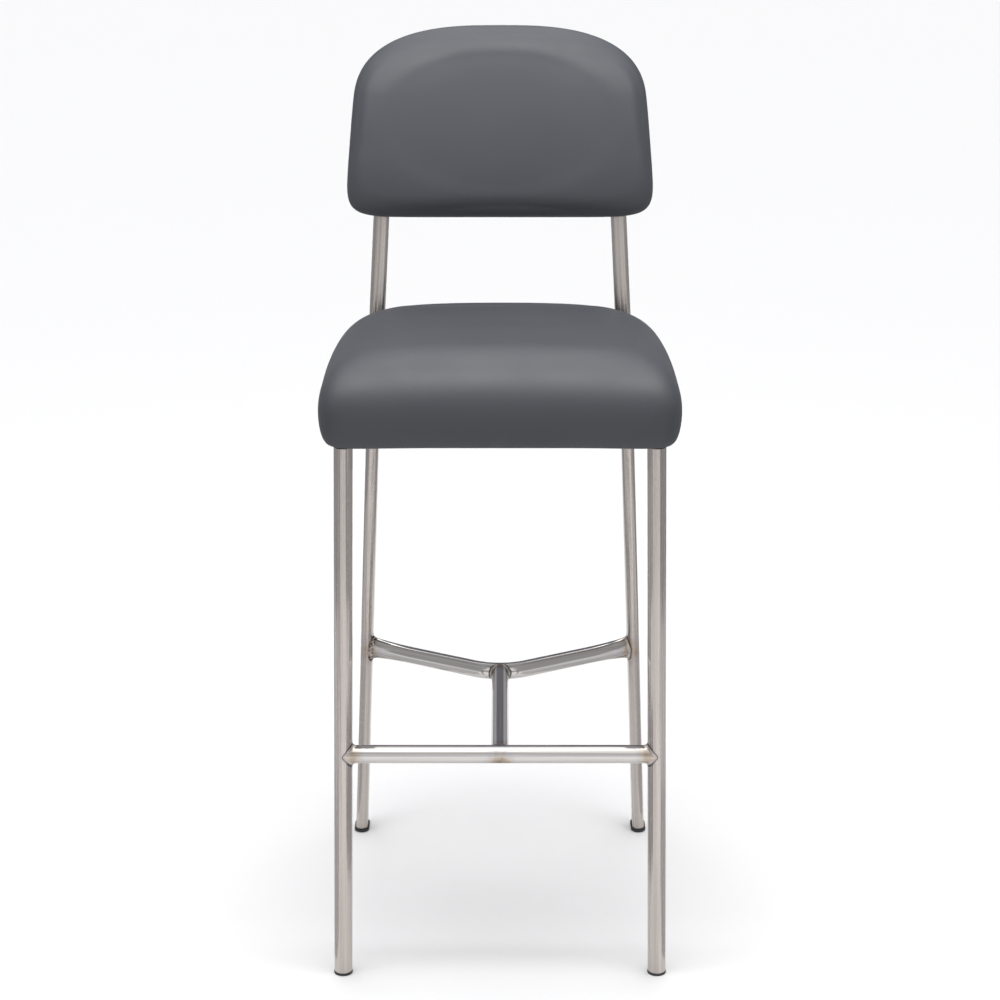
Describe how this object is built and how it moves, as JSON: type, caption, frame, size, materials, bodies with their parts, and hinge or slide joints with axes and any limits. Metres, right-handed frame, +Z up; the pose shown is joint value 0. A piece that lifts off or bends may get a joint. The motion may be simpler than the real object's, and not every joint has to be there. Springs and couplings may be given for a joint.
{
  "type": "metal bar stool",
  "caption": "Tall bar stool with a welded steel tube frame, front footrest bar, bent rear stretcher, and a thick grey vinyl seat and dished back pad.",
  "frame": {"origin": "on the floor, under the middle of the stool's overall box", "axes": "+Z up, -Y to the front where the sitter's knees are, +X to the right seen from the front"},
  "size_m": [0.4186, 0.463, 1.1161],
  "materials": {
    "satin_steel": "satin",
    "polished_steel": "polished",
    "weld_steel": "ground weld",
    "zinc_steel": "zinc plated",
    "black_plastic": "moulded",
    "grey_vinyl": "fine grained vinyl",
    "foam": "open cell foam",
    "plywood": "raw",
    "dust_cloth": "nonwoven"
  },
  "bodies": {
    "root": {"back_board": "plywood", "back_bolt_lower_left": "zinc_steel", "back_bolt_lower_right": "zinc_steel", "back_bolt_upper_left": "zinc_steel", "back_bolt_upper_right": "zinc_steel", "back_cover": "grey_vinyl", "back_foam": "foam", "back_rear_panel": "grey_vinyl", "back_tee_nut_lower_left": "zinc_steel", "back_tee_nut_lower_right": "zinc_steel", "back_tee_nut_upper_left": "zinc_steel", "back_tee_nut_upper_right": "zinc_steel", "back_upright_left": "satin_steel", "back_upright_right": "satin_steel", "centre_stretcher": "polished_steel", "chevron_stretcher": "polished_steel", "chevron_weld_left": "weld_steel", "chevron_weld_right": "weld_steel", "footrest_bar": "polished_steel", "footrest_weld_left": "weld_steel", "footrest_weld_right": "weld_steel", "front_glide_left": "black_plastic", "front_glide_right": "black_plastic", "front_leg_left": "satin_steel", "front_leg_plug_left": "black_plastic", "front_leg_plug_right": "black_plastic", "front_leg_right": "satin_steel", "rear_glide_left": "black_plastic", "rear_glide_right": "black_plastic", "rear_leg_cap_left": "satin_steel", "rear_leg_cap_right": "satin_steel", "rear_leg_left": "satin_steel", "rear_leg_right": "satin_steel", "rear_rail": "satin_steel", "seat_board": "plywood", "seat_bolt_front_left": "zinc_steel", "seat_bolt_front_right": "zinc_steel", "seat_bolt_rear_left": "zinc_steel", "seat_bolt_rear_right": "zinc_steel", "seat_cover": "grey_vinyl", "seat_dust_cover": "dust_cloth", "seat_foam": "foam", "seat_strap_front": "satin_steel", "seat_strap_rear": "satin_steel", "seat_tee_nut_front_left": "zinc_steel", "seat_tee_nut_front_right": "zinc_steel", "seat_tee_nut_rear_left": "zinc_steel", "seat_tee_nut_rear_right": "zinc_steel", "seat_washer_front_left": "zinc_steel", "seat_washer_front_right": "zinc_steel", "seat_washer_rear_left": "zinc_steel", "seat_washer_rear_right": "zinc_steel", "side_rail_left": "satin_steel", "side_rail_right": "satin_steel", "stretcher_weld_front": "weld_steel", "stretcher_weld_rear": "weld_steel", "upright_plug_left": "black_plastic", "upright_plug_right": "black_plastic"}
  },
  "joints": []
}
